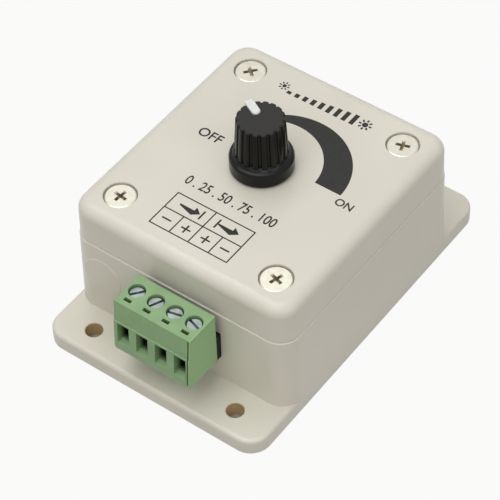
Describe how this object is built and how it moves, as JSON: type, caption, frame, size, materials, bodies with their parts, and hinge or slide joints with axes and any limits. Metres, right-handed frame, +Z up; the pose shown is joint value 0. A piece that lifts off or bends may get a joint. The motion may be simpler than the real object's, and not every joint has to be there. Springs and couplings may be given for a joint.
{
  "type": "led dimmer",
  "caption": "Rotary dimmer for low-voltage light strips: a flanged plastic box with a fluted knob on its cover and a pull-off screw terminal plug at one end.",
  "frame": {"origin": "centre of the base plate's underside", "axes": "+X from the OFF side to the ON side of the knob, +Y from the terminal end to the back, +Z up out of the cover"},
  "size_m": [0.0588, 0.088, 0.0496],
  "materials": {
    "housing_abs": "moulded satin",
    "cover_screw_steel": "pale plated",
    "zinc_steel": "zinc plated",
    "board_epoxy": "lacquered laminate",
    "header_nylon": "moulded",
    "tinned_brass": "tinned",
    "plug_nylon": "moulded satin",
    "terminal_screw_steel": "bright zinc",
    "plated_case": "plated, plain",
    "wafer_laminate": "pressed laminate",
    "shaft_aluminium": "turned",
    "rotor_nylon": "moulded",
    "spring_brass": "rolled",
    "knob_black": "moulded gloss",
    "pointer_white": "moulded",
    "moulded_epoxy": "moulded",
    "capacitor_sleeve": "shrunk sleeve",
    "seal_rubber": "moulded",
    "diode_glass": "sealed glass",
    "resistor_enamel": "dipped",
    "ceramic_lacquer": "dipped"
  },
  "bodies": {
    "housing": {"base_housing": "housing_abs", "cover": "housing_abs", "cover_screws": "cover_screw_steel", "circuit_board": "board_epoxy", "board_screws": "zinc_steel", "terminal_header": "header_nylon", "header_pins": "tinned_brass", "pot_can": "plated_case", "pot_wafer": "wafer_laminate", "pot_pins": "tinned_brass", "pot_bushing": "plated_case", "transistor_bodies": "moulded_epoxy", "transistor_tabs": "tinned_brass", "transistor_leads": "tinned_brass", "capacitor_cans": "capacitor_sleeve", "capacitor_seals": "seal_rubber", "capacitor_leads": "tinned_brass", "timer_chip": "moulded_epoxy", "timer_chip_leads": "tinned_brass", "regulator": "moulded_epoxy", "regulator_leads": "tinned_brass", "power_diode": "moulded_epoxy", "power_diode_leads": "tinned_brass", "signal_diodes": "diode_glass", "signal_diode_leads": "tinned_brass", "resistors": "resistor_enamel", "resistor_leads": "tinned_brass", "ceramic_capacitors": "ceramic_lacquer", "ceramic_capacitor_leads": "tinned_brass"},
    "knob": {"knob_body": "knob_black", "knob_pointer": "pointer_white", "pot_shaft": "shaft_aluminium", "pot_rotor": "rotor_nylon", "pot_wiper": "spring_brass", "shaft_clip": "zinc_steel"},
    "plug": {"plug_housing": "plug_nylon", "plug_contacts": "tinned_brass"},
    "terminal_screw_1": {"plug_screw_1": "terminal_screw_steel"},
    "terminal_clamp_1": {"wire_clamp_1": "zinc_steel"},
    "terminal_screw_2": {"plug_screw_2": "terminal_screw_steel"},
    "terminal_clamp_2": {"wire_clamp_2": "zinc_steel"},
    "terminal_screw_3": {"plug_screw_3": "terminal_screw_steel"},
    "terminal_clamp_3": {"wire_clamp_3": "zinc_steel"},
    "terminal_screw_4": {"plug_screw_4": "terminal_screw_steel"},
    "terminal_clamp_4": {"wire_clamp_4": "zinc_steel"}
  },
  "joints": [
    {"name": "knob_turn", "type": "hinge", "parent": "housing", "child": "knob", "pos_m": [-0.0008, 0.0008, 0.042], "axis": [0, 0, 1], "range_deg": [-213, 87]},
    {"name": "plug_pull", "type": "slide", "parent": "housing", "child": "plug", "axis": [0, -1, 0], "range_m": [0, 0.008]},
    {"name": "screw_1_turn", "type": "hinge", "parent": "plug", "child": "terminal_screw_1", "pos_m": [-0.00572, -0.03775, 0.0255], "axis": [0, 0, 1], "range_deg": [-1800, 0]},
    {"name": "clamp_1_lift", "type": "slide", "parent": "plug", "child": "terminal_clamp_1", "axis": [0, 0, 1], "range_m": [0, 0.0025]},
    {"name": "screw_2_turn", "type": "hinge", "parent": "plug", "child": "terminal_screw_2", "pos_m": [-0.00064, -0.03775, 0.0255], "axis": [0, 0, 1], "range_deg": [-1800, 0]},
    {"name": "clamp_2_lift", "type": "slide", "parent": "plug", "child": "terminal_clamp_2", "axis": [0, 0, 1], "range_m": [0, 0.0025]},
    {"name": "screw_3_turn", "type": "hinge", "parent": "plug", "child": "terminal_screw_3", "pos_m": [0.00444, -0.03775, 0.0255], "axis": [0, 0, 1], "range_deg": [-1800, 0]},
    {"name": "clamp_3_lift", "type": "slide", "parent": "plug", "child": "terminal_clamp_3", "axis": [0, 0, 1], "range_m": [0, 0.0025]},
    {"name": "screw_4_turn", "type": "hinge", "parent": "plug", "child": "terminal_screw_4", "pos_m": [0.00952, -0.03775, 0.0255], "axis": [0, 0, 1], "range_deg": [-1800, 0]},
    {"name": "clamp_4_lift", "type": "slide", "parent": "plug", "child": "terminal_clamp_4", "axis": [0, 0, 1], "range_m": [0, 0.0025]}
  ],
  "couplings": [
    {"joint": "screw_1_turn", "follows": "clamp_1_lift", "rad_per_m": -12566},
    {"joint": "screw_2_turn", "follows": "clamp_2_lift", "rad_per_m": -12566},
    {"joint": "screw_3_turn", "follows": "clamp_3_lift", "rad_per_m": -12566},
    {"joint": "screw_4_turn", "follows": "clamp_4_lift", "rad_per_m": -12566}
  ]
}
